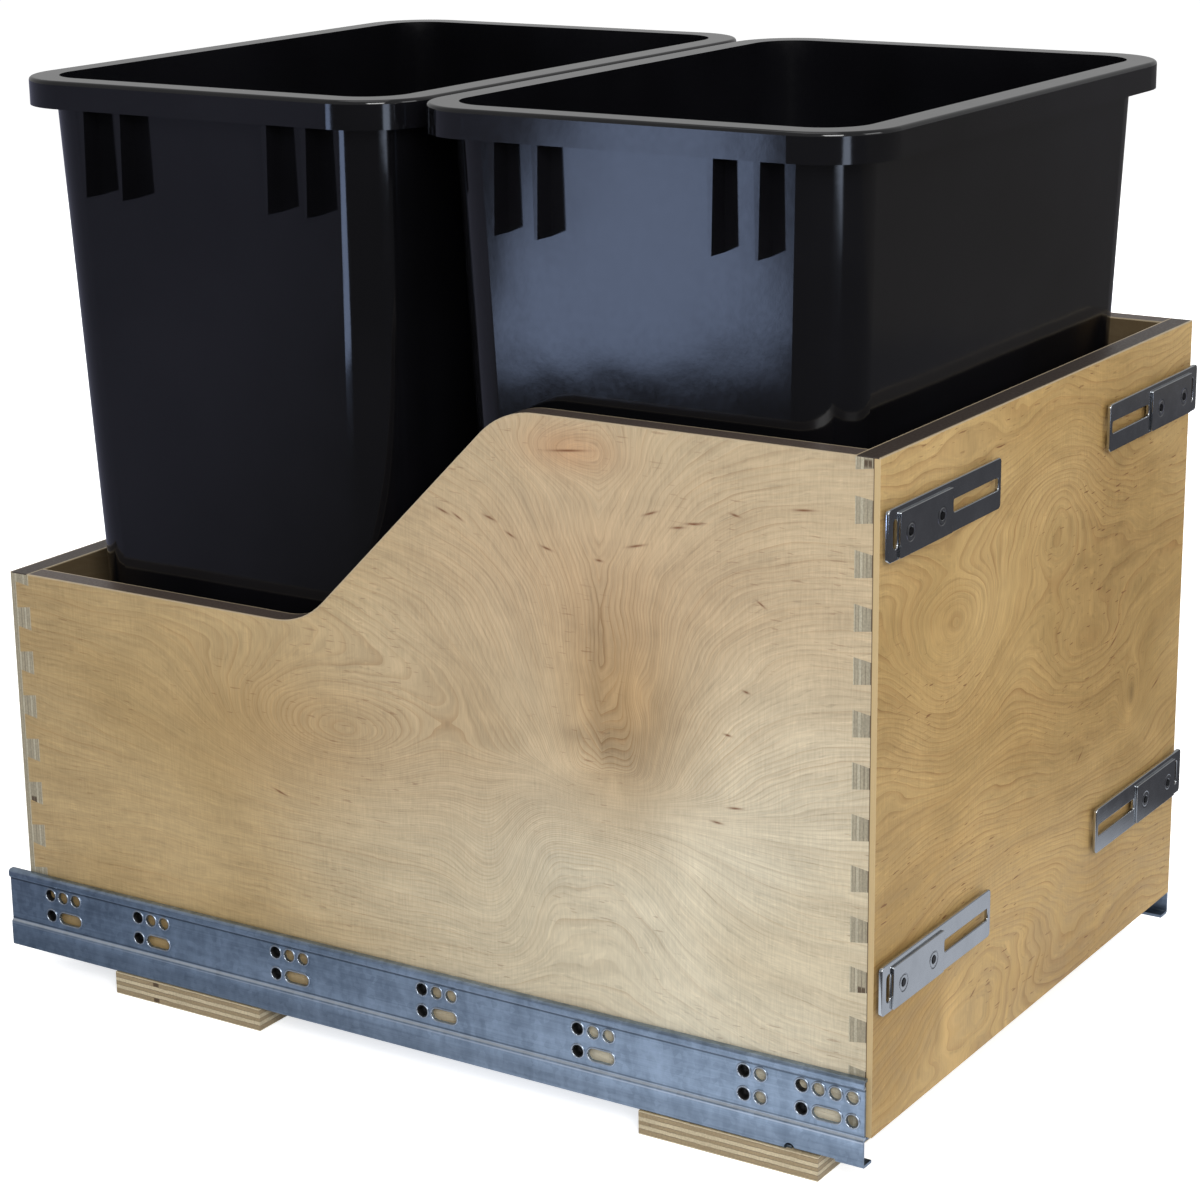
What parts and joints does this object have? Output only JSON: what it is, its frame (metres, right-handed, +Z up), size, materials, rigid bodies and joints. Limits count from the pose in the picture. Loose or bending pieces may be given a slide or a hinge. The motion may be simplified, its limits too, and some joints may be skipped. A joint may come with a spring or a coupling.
{
  "type": "pull-out bin frame",
  "caption": "Pull-out waste bin frame: dovetailed birch plywood box with scooped sides on soft-close undermount slides, with tall bins and slotted door brackets.",
  "frame": {"origin": "centre of the four floor screw holes, on the underside of the cross boards", "axes": "+X to the right seen from the front, -Y towards the cabinet door and the way the drawer pulls out, +Z up"},
  "size_m": [0.3778, 0.5522, 0.5033],
  "materials": {
    "birch_plywood": "satin clear lacquer",
    "edge_band": "satin",
    "slide_steel": "galvanised",
    "bracket_steel": "bright zinc",
    "screw_steel": "zinc",
    "damper_steel": "polished",
    "spacer_plastic": "matt",
    "cage_plastic": "matt",
    "roller_plastic": "smooth",
    "clip_plastic": "matt",
    "lever_plastic": "matt",
    "bin_plastic": "gloss with a fine moulded grain"
  },
  "bodies": {
    "cabinet_base": {"front_cross_board": "birch_plywood", "rear_cross_board": "birch_plywood", "left_cabinet_member": "slide_steel", "right_cabinet_member": "slide_steel", "left_damper_housing": "clip_plastic", "right_damper_housing": "clip_plastic", "member_screws": "screw_steel"},
    "drawer": {"left_side": "birch_plywood", "right_side": "birch_plywood", "front_panel": "birch_plywood", "back_panel": "birch_plywood", "bottom_panel": "birch_plywood", "front_edge_band": "edge_band", "back_edge_band": "edge_band", "left_edge_band": "edge_band", "right_edge_band": "edge_band", "left_drawer_member": "slide_steel", "right_drawer_member": "slide_steel", "left_rear_hook": "slide_steel", "right_rear_hook": "slide_steel", "left_locking_clip": "clip_plastic", "right_locking_clip": "clip_plastic", "clip_screws": "screw_steel", "lever_pins": "screw_steel", "upper_left_bracket_base": "bracket_steel", "upper_left_bracket_plate": "bracket_steel", "upper_right_bracket_base": "bracket_steel", "upper_right_bracket_plate": "bracket_steel", "lower_left_bracket_base": "bracket_steel", "lower_left_bracket_plate": "bracket_steel", "lower_right_bracket_base": "bracket_steel", "lower_right_bracket_plate": "bracket_steel", "bracket_screws": "screw_steel", "bracket_spacers": "spacer_plastic"},
    "front_bin": {"front_bin": "bin_plastic"},
    "rear_bin": {"rear_bin": "bin_plastic"},
    "left_middle_slide": {"left_middle_member": "slide_steel"},
    "left_lower_carriage": {"left_lower_cage": "cage_plastic", "left_lower_rollers": "roller_plastic"},
    "left_upper_carriage": {"left_upper_cage": "cage_plastic", "left_upper_rollers": "roller_plastic"},
    "left_damper_piston": {"left_damper_rod": "damper_steel"},
    "left_lever": {"left_release_lever": "lever_plastic"},
    "right_middle_slide": {"right_middle_member": "slide_steel"},
    "right_lower_carriage": {"right_lower_cage": "cage_plastic", "right_lower_rollers": "roller_plastic"},
    "right_upper_carriage": {"right_upper_cage": "cage_plastic", "right_upper_rollers": "roller_plastic"},
    "right_damper_piston": {"right_damper_rod": "damper_steel"},
    "right_lever": {"right_release_lever": "lever_plastic"}
  },
  "joints": [
    {"name": "drawer_slide", "type": "slide", "parent": "cabinet_base", "child": "drawer", "axis": [0, -1, 0], "range_m": [0, 0.5334]},
    {"name": "left_middle_slide_travel", "type": "slide", "parent": "cabinet_base", "child": "left_middle_slide", "axis": [0, -1, 0], "range_m": [0, 0.26675]},
    {"name": "left_lower_carriage_travel", "type": "slide", "parent": "cabinet_base", "child": "left_lower_carriage", "axis": [0, -1, 0], "range_m": [0, 0.1334]},
    {"name": "left_upper_carriage_travel", "type": "slide", "parent": "cabinet_base", "child": "left_upper_carriage", "axis": [0, -1, 0], "range_m": [0, 0.4001]},
    {"name": "left_damper_travel", "type": "slide", "parent": "cabinet_base", "child": "left_damper_piston", "axis": [0, -1, 0], "range_m": [0, 0.04505]},
    {"name": "left_lever_pivot", "type": "hinge", "parent": "drawer", "child": "left_lever", "pos_m": [-0.11631, -0.2083, 0.0281], "axis": [0, 0, 1], "range_deg": [0, 18], "stiffness_Nm_per_rad": 0.02},
    {"name": "right_middle_slide_travel", "type": "slide", "parent": "cabinet_base", "child": "right_middle_slide", "axis": [0, -1, 0], "range_m": [0, 0.26675]},
    {"name": "right_lower_carriage_travel", "type": "slide", "parent": "cabinet_base", "child": "right_lower_carriage", "axis": [0, -1, 0], "range_m": [0, 0.1334]},
    {"name": "right_upper_carriage_travel", "type": "slide", "parent": "cabinet_base", "child": "right_upper_carriage", "axis": [0, -1, 0], "range_m": [0, 0.4001]},
    {"name": "right_damper_travel", "type": "slide", "parent": "cabinet_base", "child": "right_damper_piston", "axis": [0, -1, 0], "range_m": [0, 0.04505]},
    {"name": "right_lever_pivot", "type": "hinge", "parent": "drawer", "child": "right_lever", "pos_m": [0.11631, -0.2083, 0.0281], "axis": [0, 0, -1], "range_deg": [0, 18], "stiffness_Nm_per_rad": 0.02},
    {"name": "front_bin_lift", "type": "slide", "parent": "drawer", "child": "front_bin", "axis": [0, 0, 1], "range_m": [0, 0.33]},
    {"name": "rear_bin_lift", "type": "slide", "parent": "drawer", "child": "rear_bin", "axis": [0, 0, 1], "range_m": [0, 0.33]}
  ],
  "couplings": [
    {"joint": "left_middle_slide_travel", "follows": "drawer_slide", "ratio": 0.5},
    {"joint": "left_lower_carriage_travel", "follows": "drawer_slide", "ratio": 0.25},
    {"joint": "left_upper_carriage_travel", "follows": "drawer_slide", "ratio": 0.75},
    {"joint": "left_damper_travel", "follows": "drawer_slide", "ratio": 0.084364},
    {"joint": "right_middle_slide_travel", "follows": "drawer_slide", "ratio": 0.5},
    {"joint": "right_lower_carriage_travel", "follows": "drawer_slide", "ratio": 0.25},
    {"joint": "right_upper_carriage_travel", "follows": "drawer_slide", "ratio": 0.75},
    {"joint": "right_damper_travel", "follows": "drawer_slide", "ratio": 0.084364}
  ]
}
